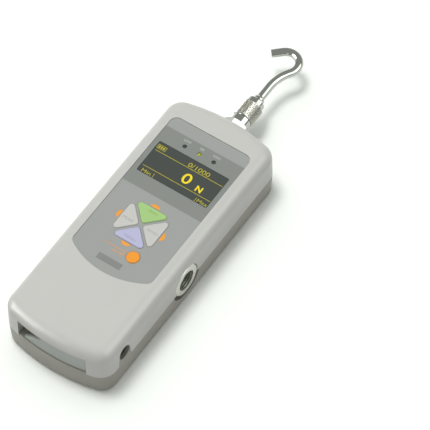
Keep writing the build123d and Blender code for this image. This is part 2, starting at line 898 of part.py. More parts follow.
with BuildPart() as chassis:
    # Base plate with two windows, and pads that reach the back of the case
    with BuildSketch(Plane.XY.offset(wall)):
        with Locations((0, (plate_top + plate_bottom) / 2)):
            RectangleRounded(plate_width, plate_top - plate_bottom, plate_corner)
        with Locations((0, cell_centre_y)):
            RectangleRounded(plate_window_width, plate_window_length, plate_corner, mode=Mode.SUBTRACT)
    extrude(amount=plate_thickness)
    with BuildSketch():
        with Locations(*mount_places):
            Circle(mount_pad_radius)
    extrude(amount=wall)
    # Crossbar between the handle bosses
    with BuildSketch(Plane.XY.offset(wall)):
        with Locations((0, crossbar_y)):
            Rectangle(2 * crossbar_half_length, crossbar_width)
    extrude(amount=crossbar_top - wall)
    chamfer(chassis.edges().filter_by(Axis.X).group_by(Axis.Z)[-1], crossbar_chamfer)
    # Block that holds the shaft bush
    with BuildSketch(Plane.XY.offset(wall)):
        with Locations((0, guide_y + guide_block_length / 2)):
            Rectangle(guide_block_width, guide_block_length)
    extrude(amount=guide_block_top - wall)
    # Bores: shaft bush, load cell bolt, boss spigots
    with BuildSketch(end_plane.offset(guide_y)):
        with Locations((0, shaft_z)):
            Circle(bush_outer_radius)
    extrude(amount=guide_block_length, mode=Mode.SUBTRACT)
    with BuildSketch(end_plane.offset(bolt_head_y)):
        with Locations((0, shaft_z)):
            Circle(cell_bolt_radius + thread_gap)
    extrude(amount=crossbar_width, mode=Mode.SUBTRACT)
    for side in (-1, 1):
        with BuildSketch(side_plane.offset(side * crossbar_half_length)):
            with Locations(boss_centre):
                Circle(boss_spigot_radius + thread_gap)
        extrude(amount=-side * boss_spigot_length, mode=Mode.SUBTRACT)
    # Threaded mounting holes from the back, and holes for the chassis screws
    with BuildSketch():
        with Locations(*mount_places):
            Circle(mount_hole_radius)
    extrude(amount=mount_hole_depth, mode=Mode.SUBTRACT)
    with BuildSketch(Plane.XY.offset(wall)):
        with Locations(*chassis_screw_places):
            Circle(chassis_screw_radius + screw_gap)
    extrude(amount=plate_thickness, mode=Mode.SUBTRACT)
save(chassis, "chassis")

for name, side in {"right_handle_boss": 1, "left_handle_boss": -1}.items():
    with BuildPart() as boss:
        with BuildSketch(side_plane.offset(side * crossbar_half_length)):
            with Locations(boss_centre):
                Circle(boss_radius)
        extrude(amount=side * boss_length)
        chamfer(boss.faces().sort_by(Axis.X)[-1 if side > 0 else 0].edges(), boss_chamfer)
        with BuildSketch(side_plane.offset(side * crossbar_half_length)):
            with Locations(boss_centre):
                Circle(boss_spigot_radius)
        extrude(amount=-side * (boss_spigot_length - boss_chamfer))
        with BuildSketch(side_plane.offset(side * boss_face_x)):
            with Locations(boss_centre):
                Circle(boss_bore_radius)
        extrude(amount=-side * boss_bore_depth, mode=Mode.SUBTRACT)
    save(boss, name)

with BuildPart() as shaft_bush:
    with BuildSketch(end_plane.offset(guide_y)):
        with Locations((0, shaft_z)):
            Circle(bush_outer_radius)
            Circle(guide_radius + running_gap, mode=Mode.SUBTRACT)
    extrude(amount=guide_block_length)
save(shaft_bush, "shaft_bush")

with BuildPart() as dust_seal:
    with BuildSketch(end_plane.offset(body_top - wall)):
        with Locations((0, shaft_z)):
            Circle(seal_outer_radius)
            Circle(shaft_radius + seal_gap, mode=Mode.SUBTRACT)
    extrude(amount=wall - seal_recess)
save(dust_seal, "dust_seal")

# ---------------------------------------------------------------- load cell

with BuildPart() as load_cell:
    with BuildSketch(Plane.XY.offset(shaft_z - cell_thickness / 2)):
        with Locations((0, cell_centre_y)):
            Rectangle(cell_width, cell_length)
        # Two slots, one from each side, make the block an S
        for side in (-1, 1):
            with Locations((side * cell_slot_rest / 2, cell_centre_y + side * cell_slot_offset)):
                Rectangle(cell_width - cell_slot_rest, cell_slot, mode=Mode.SUBTRACT)
        # Two eyes joined by a throat leave the thin walls that bend
        with Locations(*[(x, cell_centre_y) for x in (-cell_eye_pitch / 2, cell_eye_pitch / 2)]):
            Circle(cell_eye_radius, mode=Mode.SUBTRACT)
        with Locations((0, cell_centre_y)):
            Rectangle(cell_eye_pitch, cell_throat, mode=Mode.SUBTRACT)
    extrude(amount=cell_thickness)
    with BuildSketch(end_plane.offset(cell_bottom_y)):
        with Locations((0, shaft_z)):
            Circle(cell_bolt_radius + thread_gap)
    extrude(amount=cell_bolt_bite, mode=Mode.SUBTRACT)
    with BuildSketch(end_plane.offset(cell_top_y)):
        with Locations((0, shaft_z)):
            Circle(shaft_radius + thread_gap)
    extrude(amount=-cell_bolt_bite, mode=Mode.SUBTRACT)
save(load_cell, "load_cell")

with BuildPart() as strain_gauges:
    with BuildSketch(Plane.XY.offset(shaft_z - gauge_width / 2)):
        for side in (-1, 1):
            for end in (-1, 1):
                with Locations((side * gauge_x, cell_centre_y + end * gauge_y)):
                    Rectangle(gauge_length, gauge_thickness)
    extrude(amount=gauge_width)
save(strain_gauges, "strain_gauges")

with BuildPart() as load_cell_bolt:
    with BuildSketch(end_plane.offset(bolt_head_y)):
        with Locations((0, shaft_z)):
            Circle(cell_bolt_head_radius)
    extrude(amount=-cell_bolt_head)
    with BuildSketch(end_plane.offset(bolt_head_y - cell_bolt_head)):
        with Locations((0, shaft_z)):
            RegularPolygon(cell_bolt_radius, 6, major_radius=True)
    extrude(amount=cell_bolt_head / 2, mode=Mode.SUBTRACT)
    with BuildSketch(end_plane.offset(bolt_head_y)):
        with Locations((0, shaft_z)):
            Circle(cell_bolt_radius)
    extrude(amount=crossbar_width + cell_bolt_bite - 2 * cell_gap)
save(load_cell_bolt, "load_cell_bolt")

# ---------------------------------------------------------------- shaft, nut, sleeve and hook

shaft_line = Plane(origin=(0, 0, shaft_z), x_dir=(1, 0, 0), z_dir=(0, 0, 1))

with BuildPart() as measuring_shaft:
    with BuildSketch(shaft_line):
        with BuildLine():
            Polyline(
                (0, shaft_foot_y),
                (shaft_radius, shaft_foot_y),
                (shaft_radius, shoulder_y),
                (shaft_shoulder_radius, shoulder_y),
                (shaft_shoulder_radius, shoulder_y + shaft_shoulder_length),
                (guide_radius, shoulder_y + shaft_shoulder_length),
                (guide_radius, guide_end_y),
                (shaft_radius, guide_end_y),
                (shaft_radius, shaft_end_y - shaft_end_chamfer),
                (shaft_radius - shaft_end_chamfer, shaft_end_y),
                (0, shaft_end_y),
                close=True,
            )
        make_face()
    revolve(axis=Axis((0, 0, shaft_z), (0, 1, 0)))
save(measuring_shaft, "measuring_shaft")

with BuildPart() as lock_nut:
    with BuildSketch(end_plane.offset(nut_y)):
        with Locations((0, shaft_z)):
            RegularPolygon(nut_flats / 2, 6, major_radius=False, rotation=nut_turn)
    extrude(amount=nut_thickness)
    # The corners of the upper face are turned off to a cone
    with BuildSketch(shaft_line):
        with BuildLine():
            Polyline(
                (0, nut_y),
                (nut_cone_radius, nut_y),
                (nut_cone_radius, nut_y + nut_thickness - nut_cone_height),
                (nut_face_radius, nut_y + nut_thickness),
                (0, nut_y + nut_thickness),
                close=True,
            )
        make_face()
    revolve(axis=Axis((0, 0, shaft_z), (0, 1, 0)), mode=Mode.INTERSECT)
    with BuildSketch(end_plane.offset(nut_y)):
        with Locations((0, shaft_z)):
            Circle(shaft_radius + thread_gap)
    extrude(amount=nut_thickness, mode=Mode.SUBTRACT)
save(lock_nut, "lock_nut")

with BuildPart() as hook_sleeve:
    with BuildSketch(shaft_line):
        with BuildLine():
            Polyline(
                (0, sleeve_y),
                (sleeve_foot_radius, sleeve_y),
                (sleeve_foot_radius, grip_y),
                (sleeve_grip_radius, grip_y),
                (sleeve_grip_radius, cap_y),
                (sleeve_cap_radius, cap_y),
                (sleeve_cap_radius, sleeve_end_y - sleeve_cap_chamfer),
                (sleeve_cap_radius - sleeve_cap_chamfer, sleeve_end_y),
                (0, sleeve_end_y),
                close=True,
            )
        make_face()
    revolve(axis=Axis((0, 0, shaft_z), (0, 1, 0)))
    with BuildSketch(end_plane.offset(sleeve_y)):
        with Locations((0, shaft_z)):
            Circle(shaft_radius + thread_gap)
    extrude(amount=sleeve_thread_depth, mode=Mode.SUBTRACT)
    with BuildSketch(end_plane.offset(sleeve_end_y)):
        with Locations((0, shaft_z)):
            Circle(rod_radius + screw_gap)
    extrude(amount=-hook_spigot, mode=Mode.SUBTRACT)
save(hook_sleeve, "hook_sleeve")


def travel(start, heading, length):
    """The point reached from a start along a heading in degrees."""
    return start + Vector(length, 0).rotate(Axis.Z, heading)


with BuildPart() as hook:
    with BuildLine(shaft_line) as rod_line:
        foot = Vector(0, sleeve_end_y - hook_spigot)
        sway_start = Vector(0, sleeve_end_y + hook_collar_length + hook_shank)
        Line(foot, sway_start)
        # The rod sways to one side, then bends back over the axis into the bowl
        sway_centre = travel(sway_start, 0, hook_sway_radius)
        CenterArc(sway_centre, hook_sway_radius, 180, -hook_sway_turn)
        sway_end = travel(sway_centre, 180 - hook_sway_turn, hook_sway_radius)
        bowl_start = travel(sway_end, 90 - hook_sway_turn, hook_middle)
        Line(sway_end, bowl_start)
        bowl_centre = travel(bowl_start, 180 - hook_sway_turn, bowl_radius)
        CenterArc(bowl_centre, bowl_radius, -hook_sway_turn, bowl_turn)
        bowl_end = travel(bowl_centre, bowl_turn - hook_sway_turn, bowl_radius)
        Line(bowl_end, travel(bowl_end, 90 + bowl_turn - hook_sway_turn, hook_tip))
    with BuildSketch(end_plane.offset(sleeve_end_y - hook_spigot)):
        with Locations((0, shaft_z)):
            Circle(rod_radius)
    sweep(path=rod_line.wire())
    # Collar where the rod leaves the sleeve
    with BuildSketch(shaft_line):
        with BuildLine():
            Polyline(
                (0, sleeve_end_y),
                (hook_collar_radius, sleeve_end_y),
                (hook_collar_radius, sleeve_end_y + hook_collar_length / 2),
                (rod_radius, sleeve_end_y + hook_collar_length),
                (0, sleeve_end_y + hook_collar_length),
                close=True,
            )
        make_face()
    revolve(axis=Axis((0, 0, shaft_z), (0, 1, 0)))
save(hook, "hook")

# ---------------------------------------------------------------- connector cover and its pin


def leaning_wall(inset):
    """The bottom end as a block whose wall leans back towards the face."""
    return drafted_block(inset, bay_floor + cover_gap, bay_top - cover_gap, cover_lean).part


with BuildPart() as connector_cover:
    add(leaning_wall(cover_recess))
    add(leaning_wall(cover_recess + cover_thickness), mode=Mode.SUBTRACT)
    # The free corner is cut away on a slant, so that a fingernail can reach behind it
    with BuildSketch(Plane.XZ.offset(body_top - end_cut_depth)):
        with BuildLine():
            Polyline(
                (cover_left_x, bay_floor),
                (cover_pin_x, bay_floor),
                (cover_pin_x, bay_top),
                (cover_left_x + cover_corner_cut, bay_top),
                (cover_left_x, bay_floor + cover_gap + cover_tip),
                close=True,
            )
        make_face()
    extrude(amount=end_cut_depth, mode=Mode.INTERSECT)
    with BuildSketch(Plane.XY.offset(bay_floor + cover_gap)):
        with Locations(cover_pin_centre):
            Circle(cover_barrel_radius)
    extrude(amount=bay_top - bay_floor - 2 * cover_gap)
    with BuildSketch(Plane.XY.offset(bay_floor)):
        with Locations(cover_pin_centre):
            Circle(cover_pin_radius + running_gap)
    extrude(amount=bay_top - bay_floor, mode=Mode.SUBTRACT)
save(connector_cover, "connector_cover")

with BuildPart() as cover_pin:
    with BuildSketch(Plane.XY.offset(bay_floor - cover_pin_seat)):
        with Locations(cover_pin_centre):
            Circle(cover_pin_radius)
    extrude(amount=bay_top - bay_floor + 2 * cover_pin_seat)
save(cover_pin, "cover_pin")

# ---------------------------------------------------------------- screws in the back

with BuildPart() as case_screws:
    with BuildSketch(Plane.XY.offset(case_screw_sink)):
        with Locations(*case_screw_places):
            Circle(case_screw_head_radius)
    extrude(amount=-case_screw_head)
    with BuildSketch(Plane.XY.offset(case_screw_sink)):
        with Locations(*case_screw_places):
            Circle(case_screw_radius)
    extrude(amount=case_screw_length)
    with BuildSketch(Plane.XY.offset(case_screw_sink - case_screw_head)):
        with Locations(*case_screw_places):
            Rectangle(case_screw_head_radius, case_screw_slot)
            Rectangle(case_screw_slot, case_screw_head_radius)
    extrude(amount=case_screw_head / 2, mode=Mode.SUBTRACT)
save(case_screws, "case_screws")

with BuildPart() as chassis_screws:
    with Locations(*[(x, y, 0) for x, y in chassis_screw_places]):
        Cone(
            chassis_screw_head_radius,
            chassis_screw_radius,
            chassis_screw_cone,
            align=(Align.CENTER, Align.CENTER, Align.MIN),
        )
    with BuildSketch(Plane.XY.offset(chassis_screw_cone)):
        with Locations(*chassis_screw_places):
            Circle(chassis_screw_radius)
    extrude(amount=plate_face - chassis_screw_cone)
    with BuildSketch():
        with Locations(*chassis_screw_places):
            Rectangle(2 * chassis_screw_radius, case_screw_slot)
            Rectangle(case_screw_slot, 2 * chassis_screw_radius)
    extrude(amount=chassis_screw_cone / 2, mode=Mode.SUBTRACT)
save(chassis_screws, "chassis_screws")
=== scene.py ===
from math import asin, cos, pi, radians, sin, tan

import bmesh
import bpy
from mathutils import Matrix, Vector


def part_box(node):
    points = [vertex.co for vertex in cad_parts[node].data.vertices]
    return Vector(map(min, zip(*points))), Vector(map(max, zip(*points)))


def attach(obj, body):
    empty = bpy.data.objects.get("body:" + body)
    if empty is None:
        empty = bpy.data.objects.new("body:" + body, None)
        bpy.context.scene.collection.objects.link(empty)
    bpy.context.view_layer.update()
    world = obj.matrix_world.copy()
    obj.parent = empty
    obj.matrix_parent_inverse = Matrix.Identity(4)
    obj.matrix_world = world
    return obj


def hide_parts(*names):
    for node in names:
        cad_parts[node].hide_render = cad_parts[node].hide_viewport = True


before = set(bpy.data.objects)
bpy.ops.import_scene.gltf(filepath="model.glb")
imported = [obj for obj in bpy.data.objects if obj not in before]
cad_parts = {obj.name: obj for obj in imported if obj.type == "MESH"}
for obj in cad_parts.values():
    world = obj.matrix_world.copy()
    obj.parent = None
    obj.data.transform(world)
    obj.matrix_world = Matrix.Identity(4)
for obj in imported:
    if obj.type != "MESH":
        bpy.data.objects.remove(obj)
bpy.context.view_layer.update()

scene = bpy.context.scene
scene.view_settings.view_transform = "Standard"
mm = 0.001


# Rear cover: the deeper half of the case that lies on the bench, moulded in warm grey ABS.
# The tool is spark eroded, which leaves a fine matt grain, and the two halves meet on a
# plain joint.
def paint(red, green, blue):
    """A colour from its three display values, 0 to 255."""
    shares = [value / 255 for value in (red, green, blue)]
    linear = [s / 12.92 if s <= 0.04045 else ((s + 0.055) / 1.055) ** 2.4 for s in shares]
    return (*linear, 1.0)


def plain_finish(name, colour, roughness, metallic=0.0):
    """A material with one colour and one roughness, which the other finishes start from."""
    material = bpy.data.materials.new(name)
    material.use_nodes = True
    shader = material.node_tree.nodes["Principled BSDF"]
    shader.inputs["Base Color"].default_value = colour
    shader.inputs["Roughness"].default_value = roughness
    shader.inputs["Metallic"].default_value = metallic
    return material


def mottle(tree, size, detail):
    """Noise that is fixed to the piece, in patches of about size across."""
    place = tree.nodes.new("ShaderNodeTexCoord")
    noise = tree.nodes.new("ShaderNodeTexNoise")
    noise.inputs["Scale"].default_value = 1 / size
    noise.inputs["Detail"].default_value = detail
    tree.links.new(place.outputs["Object"], noise.inputs["Vector"])
    return noise.outputs["Fac"]


def add_grain(material, size, depth):
    """A fine bump over the whole piece, with grains of about size across."""
    tree = material.node_tree
    bump = tree.nodes.new("ShaderNodeBump")
    bump.inputs["Strength"].default_value = 1.0
    bump.inputs["Distance"].default_value = depth
    tree.links.new(mottle(tree, size, detail=3), bump.inputs["Height"])
    tree.links.new(bump.outputs["Normal"], tree.nodes["Principled BSDF"].inputs["Normal"])


def add_second_colour(material, share, colour, other):
    """Colours a material from one colour to another by a share from 0 to 1."""
    tree = material.node_tree
    blend = tree.nodes.new("ShaderNodeMix")
    blend.data_type = "RGBA"
    blend.inputs["A"].default_value = colour
    blend.inputs["B"].default_value = other
    tree.links.new(share, blend.inputs["Factor"])
    tree.links.new(blend.outputs["Result"], tree.nodes["Principled BSDF"].inputs["Base Color"])


def new_piece(name, mesh, material, body):
    """An object on a body, with its finish and the slot it takes it from."""
    piece = bpy.data.objects.new(name, mesh)
    scene.collection.objects.link(piece)
    mesh.materials.clear()
    mesh.materials.append(material)
    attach(piece, body)
    return piece


def shade_round_faces(mesh):
    """Smooth shading that stops at the mesh's sharp edges."""
    mesh.shade_smooth()
    mesh.set_sharp_from_angle(angle=sharp_angle)


def smooth_copy(node, name, material, body):
    """A copy of a solid's mesh with its triangles joined and its round faces shaded smooth."""
    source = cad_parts[node].data
    mesh = bpy.data.meshes.new(name)
    corners = [tuple(vertex.co) for vertex in source.vertices]
    mesh.from_pydata(corners, [], [tuple(face.vertices) for face in source.polygons])
    joined = bmesh.new()
    joined.from_mesh(mesh)
    bmesh.ops.remove_doubles(joined, verts=joined.verts, dist=weld_distance)
    joined.to_mesh(mesh)
    joined.free()
    shade_round_faces(mesh)
    piece = new_piece(name, mesh, material, body)
    even = piece.modifiers.new("even shading", "WEIGHTED_NORMAL")
    even.keep_sharp = True
    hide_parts(node)
    return piece


sharp_angle = radians(28)
weld_distance = 0.0005 * mm
grain_size = 0.45 * mm
grain_depth = 0.012 * mm
tone_patch = 35 * mm
tone_detail = 4
rear_grey = paint(166, 163, 155)
rear_worn_grey = paint(159, 156, 148)
rear_plastic = plain_finish("grey case plastic", rear_grey, 0.5)
add_grain(rear_plastic, grain_size, grain_depth)
rear_tone = mottle(rear_plastic.node_tree, tone_patch, tone_detail)
add_second_colour(rear_plastic, rear_tone, rear_grey, rear_worn_grey)
smooth_copy("rear_cover", "rear_moulding", rear_plastic, "case")

# Front cover: the face half of the case, moulded in off-white ABS with the same grain.
# Its face is sunk for the overlay, and it is cut away at the handle sockets, the jack and
# the bay.
front_white = paint(208, 207, 203)
front_worn_white = paint(202, 201, 197)
front_plastic = plain_finish("light case plastic", front_white, 0.34)
add_grain(front_plastic, grain_size, grain_depth)
front_tone = mottle(front_plastic.node_tree, tone_patch, tone_detail)
add_second_colour(front_plastic, front_tone, front_white, front_worn_white)
smooth_copy("front_cover", "front_moulding", front_plastic, "case")


# Recess corners: the case's plastic rounds off the two lower corners of the overlay's recess,
# between its straight sides and its bowed lower end. Each is part of the front moulding and
# comes to just under its face.
def slab(outline, bottom, top):
    """A closed flat shape from its outline in X and Y, read anticlockwise."""
    count = len(outline)
    corners = [(x, y, bottom) for x, y in outline] + [(x, y, top) for x, y in outline]
    faces = [tuple(reversed(range(count))), tuple(range(count, 2 * count))]
    for start in range(count):
        end = (start + 1) % count
        faces.append((start, end, end + count, start + count))
    return corners, faces


def joined_mesh(name, parts):
    """One mesh from several lists of corners and faces."""
    corners, faces = [], []
    for part_corners, part_faces in parts:
        start = len(corners)
        corners += part_corners
        faces += [tuple(index + start for index in face) for face in part_faces]
    mesh = bpy.data.meshes.new(name)
    mesh.from_pydata(corners, [], faces)
    return mesh


panel_low, panel_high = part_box("face_panel")
panel_face = panel_high.z
half_panel = panel_high.x
panel_bow = 8.8 * mm
corner_round = 3.6 * mm
corner_steps = 8
recess_gap = 0.2 * mm
under_face = 0.01 * mm
corner_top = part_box("front_cover")[1].z - under_face
bow_radius = (half_panel**2 + panel_bow**2) / (2 * panel_bow)
bow_slope = asin(half_panel / bow_radius)
bow_end_y = panel_low.y + panel_bow
round_turn = pi / 2 - bow_slope
round_start_y = bow_end_y + corner_round * tan(round_turn / 2)
round_centre_x = half_panel - corner_round
recess_corners = []
for side in (1, -1):
    rounding = []
    for step in range(corner_steps + 1):
        angle = -round_turn * step / corner_steps
        round_x = round_centre_x + corner_round * cos(angle)
        rounding.append((round_x, round_start_y + corner_round * sin(angle)))
    last_x, last_y = rounding[-1]
    outline = [
        (half_panel + recess_gap, round_start_y),
        *rounding,
        (last_x + recess_gap * sin(bow_slope), last_y - recess_gap * cos(bow_slope)),
        (half_panel + recess_gap, bow_end_y - recess_gap),
    ]
    if side < 0:
        outline.reverse()
    recess_corners.append(slab([(side * x, y) for x, y in outline], panel_face, corner_top))
corner_mesh = joined_mesh("recess_corners", recess_corners)
new_piece("recess_corners", corner_mesh, front_plastic, "case")


# Overlay: a printed polyester film stuck in the face's recess, with holes for lamps and keys.
# The print is two greys with a satin finish: a darker band carries the display.
def maths(tree, operation, first, second=None):
    """The result of a Math node that is fed by sockets or by plain numbers."""
    node = tree.nodes.new("ShaderNodeMath")
    node.operation = operation
    for socket, value in zip(node.inputs, (first, second)):
        if isinstance(value, (int, float)):
            socket.default_value = value
        elif value is not None:
            tree.links.new(value, socket)
    return node.outputs["Value"]


band_top = 67.2 * mm
band_bottom = 20.8 * mm
film_grain_size = 0.25 * mm
film_grain_depth = 0.003 * mm
panel_grey = paint(162, 164, 161)
band_grey = paint(138, 141, 137)
overlay_film = plain_finish("overlay film", panel_grey, 0.42)
film_tree = overlay_film.node_tree
film_place = film_tree.nodes.new("ShaderNodeTexCoord")
film_axes = film_tree.nodes.new("ShaderNodeSeparateXYZ")
film_tree.links.new(film_place.outputs["Object"], film_axes.inputs["Vector"])
below_top = maths(film_tree, "LESS_THAN", film_axes.outputs["Y"], band_top)
above_bottom = maths(film_tree, "GREATER_THAN", film_axes.outputs["Y"], band_bottom)
in_band = maths(film_tree, "MULTIPLY", below_top, above_bottom)
add_second_colour(overlay_film, in_band, panel_grey, band_grey)
add_grain(overlay_film, film_grain_size, film_grain_depth)
smooth_copy("face_panel", "overlay", overlay_film, "case")


# Prints on the overlay: orange half discs beside the keys, a fine rule to the round key,
# pale marks over the lamps and a darker plate print, all screen printed ten to twenty microns
# thick.
def box_outline(left, low, right, high):
    """The outline of a rectangle from its four sides."""
    return [(left, low), (right, low), (right, high), (left, high)]


def lettering(words, height, left, low, width, bottom, top, weight=0.0):
    """Corners and faces of a line of plain lettering, height by width, set at left and low."""
    line = bpy.data.curves.new("lettering", "FONT")
    line.body = words
    line.offset = weight
    line.extrude = 0.5
    holder = bpy.data.objects.new("lettering", line)
    scene.collection.objects.link(holder)
    ready = holder.evaluated_get(bpy.context.evaluated_depsgraph_get())
    shape = bpy.data.meshes.new_from_object(ready)
    bpy.data.objects.remove(holder)
    xs = [v.co.x for v in shape.vertices]
    ys = [v.co.y for v in shape.vertices]
    scale_x = width / (max(xs) - min(xs))
    scale_y = height / (max(ys) - min(ys))
    corners = [
        (
            left + (v.co.x - min(xs)) * scale_x,
            low + (v.co.y - min(ys)) * scale_y,
            top if v.co.z > 0 else bottom,
        )
        for v in shape.vertices
    ]
    faces = [tuple(face.vertices) for face in shape.polygons]
    bpy.data.meshes.remove(shape)
    bpy.data.curves.remove(line)
    return corners, faces


ink = 0.02 * mm
ink_top = panel_face + ink
ink_roughness = 0.5
keypad_low, keypad_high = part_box("key_left")
keypad_y = (keypad_low.y + keypad_high.y) / 2
keypad_reach = -keypad_low.x
disc_radius = 3.4 * mm
disc_inset = 0.9 * mm
disc_gap = 0.15 * mm
disc_trim = 0.31
disc_steps = 24
disc_centre = keypad_reach - disc_inset
disc_edge = keypad_reach + disc_gap
disc_half_angle = pi / 2 - disc_trim
orange_print = []
for turn in (0, 90, 180, 270):
    arc = []
    for step in range(disc_steps + 1):
        angle = -disc_half_angle + 2 * disc_half_angle * step / disc_steps
        out = disc_centre + disc_radius * cos(angle)
        arc.append((max(out, disc_edge), disc_radius * sin(angle)))
    across, along = cos(radians(turn)), sin(radians(turn))
    placed = [(x * across - y * along, keypad_y + x * along + y * across) for x, y in arc]
    orange_print.append(slab(placed, panel_face, ink_top))
key_rule_y = -21.2 * mm
key_rule_left = -11.5 * mm
key_rule_gap = 0.2 * mm
key_rule_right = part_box("round_key")[0].x - key_rule_gap
key_rule_half = 0.16 * mm
key_rule = box_outline(
    key_rule_left, key_rule_y - key_rule_half, key_rule_right, key_rule_y + key_rule_half
)
orange_print.append(slab(key_rule, panel_face, ink_top))
switch_height, switch_width = 1.7 * mm, 7.8 * mm
switch_left, switch_low = -4.2 * mm, -24.6 * mm
orange_print.append(
    lettering(
        "ON / OFF", switch_height, switch_left, switch_low, switch_width, panel_face, ink_top
    )
)
orange_ink = plain_finish("orange print", paint(250, 163, 52), ink_roughness)
orange_mesh = joined_mesh("orange_print", orange_print)
new_piece("orange_print", orange_mesh, orange_ink, "case")

lamp_word_height = 1.6 * mm
lamp_word_low = 63.7 * mm
pale_print = []
for words, middle_x, width in (
    ("LOW", -10.9 * mm, 5.0 * mm),
    ("OK", -0.4 * mm, 3.0 * mm),
    ("HIGH", 10.1 * mm, 5.0 * mm),
):
    word_left = middle_x - width / 2
    pale_print.append(
        lettering(words, lamp_word_height, word_left, lamp_word_low, width, panel_face, ink_top)
    )
pale_ink = plain_finish("pale print", paint(205, 208, 208), ink_roughness)
pale_mesh = joined_mesh("pale_print", pale_print)
new_piece("pale_print", pale_mesh, pale_ink, "case")

plate_left, plate_right = -9.4 * mm, 7.4 * mm
plate_low, plate_high = -33.8 * mm, -29.4 * mm
plate_outline = box_outline(plate_left, plate_low, plate_right, plate_high)
plate_print = slab(plate_outline, panel_face, panel_face + ink / 2)
plate_ink = plain_finish("plate print", paint(136, 138, 135), ink_roughness)
plate_mesh = joined_mesh("plate_print", [plate_print])
new_piece("plate_print", plate_mesh, plate_ink, "case")

# Display window: a hard clear acrylic sheet bonded behind the overlay, dark because the
# display lies close under it. It is polished and comes to just under the film's face.
window_dark = plain_finish("display window", paint(72, 77, 73), 0.12)
smooth_copy("display_window", "window", window_dark, "case")

# Readout: what the lit display shows through the window, as thin yellow marks.
# A large reading with its unit stands between two rules, with small fields over and under it.
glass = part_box("display_window")[1].z
mark_thickness = 0.02 * mm
lit_top = glass + mark_thickness
rule_left, rule_right = -24.0 * mm, 24.6 * mm
rule_half = 0.17 * mm
mark_outlines = []
for rule_y in (48.9 * mm, 35.9 * mm):
    mark_outlines.append(
        box_outline(rule_left, rule_y - rule_half, rule_right, rule_y + rule_half)
    )
field_bar = 0.3 * mm
field_low, field_high = 30.9 * mm, 34.2 * mm
for bar_x in (-14.3 * mm, 16.2 * mm):
    mark_outlines.append(box_outline(bar_x, field_low, bar_x + field_bar, field_high))
cell_left, cell_right = -24.4 * mm, -18.2 * mm
cell_low, cell_high = 50.6 * mm, 53.6 * mm
cell_line = 0.32 * mm
inner_low, inner_high = cell_low + cell_line, cell_high - cell_line
mark_outlines += [
    box_outline(cell_left, cell_low, cell_right, inner_low),
    box_outline(cell_left, inner_high, cell_right, cell_high),
    box_outline(cell_left, inner_low, cell_left + cell_line, inner_high),
    box_outline(cell_right - cell_line, inner_low, cell_right, inner_high),
]
charge_width, charge_pitch = 1.0 * mm, 1.6 * mm
charge_margin, charge_rise = 0.9 * mm, 0.7 * mm
for bar in range(3):
    bar_left = cell_left + charge_margin + charge_pitch * bar
    bar_right = bar_left + charge_width
    mark_outlines.append(
        box_outline(bar_left, cell_low + charge_rise, bar_right, cell_high - charge_rise)
    )
marks = [slab(outline, glass, lit_top) for outline in mark_outlines]
for words, height, left, low, width in (
    ("0/1000", 3.1 * mm, -1.3 * mm, 49.7 * mm, 15.2 * mm),
    ("Min", 2.4 * mm, -22.4 * mm, 31.4 * mm, 6.4 * mm),
    ("Max", 2.4 * mm, 17.6 * mm, 31.4 * mm, 7.2 * mm),
):
    marks.append(lettering(words, height, left, low, width, glass, lit_top))
bright_marks = []
for words, height, left, low, width, weight in (
    ("0", 7.6 * mm, 0.9 * mm, 38.1 * mm, 5.9 * mm, 0.012),
    ("N", 4.3 * mm, 12.0 * mm, 37.4 * mm, 4.2 * mm, 0.035),
):
    bright_marks.append(lettering(words, height, left, low, width, glass, lit_top, weight))
mark_yellow = plain_finish("readout yellow", paint(196, 184, 40), 0.4)
bright_yellow = plain_finish("reading yellow", paint(252, 226, 30), 0.4)
mark_mesh = joined_mesh("readout_fields", marks)
new_piece("readout_fields", mark_mesh, mark_yellow, "case")
reading_mesh = joined_mesh("reading", bright_marks)
new_piece("reading", reading_mesh, bright_yellow, "case")

# Lamps: three small round lenses in the overlay that say whether a reading is low, right or
# high. The outer two are unlit and dark, and the middle one glows yellow-green.
lamp_off = plain_finish("unlit lamp", paint(62, 70, 66), 0.25)
lamp_on = plain_finish("lit lamp", paint(172, 180, 40), 0.3)
smooth_copy("lamp_low", "lamp_lens_low", lamp_off, "case")
smooth_copy("lamp_high", "lamp_lens_high", lamp_off, "case")
smooth_copy("lamp_pass", "lamp_lens_pass", lamp_on, "case")

# Keys: four soft triangular caps and a small round one, moulded in silicone rubber in their
# own colours. Each stands a little proud of the overlay and has its word printed in grey.
key_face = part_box("key_top")[1].z
key_white = paint(205, 204, 200)
key_roughness = 0.55
key_grain_size = 0.3 * mm
key_grain_depth = 0.006 * mm
word_height = 1.7 * mm
word_top = key_face + ink / 2
word_darkness = 0.62
for key, tone, colour, slot, word, middle_x, word_low, width in (
    ("key_top", "green", paint(168, 206, 132), "key_green", "ZERO", 1.2, 9.6, 6.6),
    ("key_left", "pale", key_white, "key_white", "PEAK", -8.6, -2.2, 7.6),
    ("key_right", "pale", key_white, "key_white", "SEND", 8.6, -2.0, 7.6),
    ("key_bottom", "lilac", paint(190, 190, 220), "key_lilac", "MENU", -0.2, -12.6, 8.0),
):
    rubber = plain_finish(tone + " key rubber", colour, key_roughness)
    add_grain(rubber, key_grain_size, key_grain_depth)
    smooth_copy(key, key + "_cap", rubber, key + "_body")
    word_colour = (*(word_darkness * share for share in colour[:3]), 1.0)
    word_ink = plain_finish(tone + " key print", word_colour, key_roughness)
    word_left = (middle_x - width / 2) * mm
    word_shape = lettering(
        word, word_height, word_left, word_low * mm, width * mm, key_face, word_top
    )
    word_mesh = joined_mesh(key + "_word", [word_shape])
    new_piece(key + "_word", word_mesh, word_ink, key + "_body")
round_rubber = plain_finish("orange key rubber", paint(250, 160, 50), 0.5)
add_grain(round_rubber, key_grain_size, key_grain_depth)
smooth_copy("round_key", "round_key_cap", round_rubber, "round_key_body")


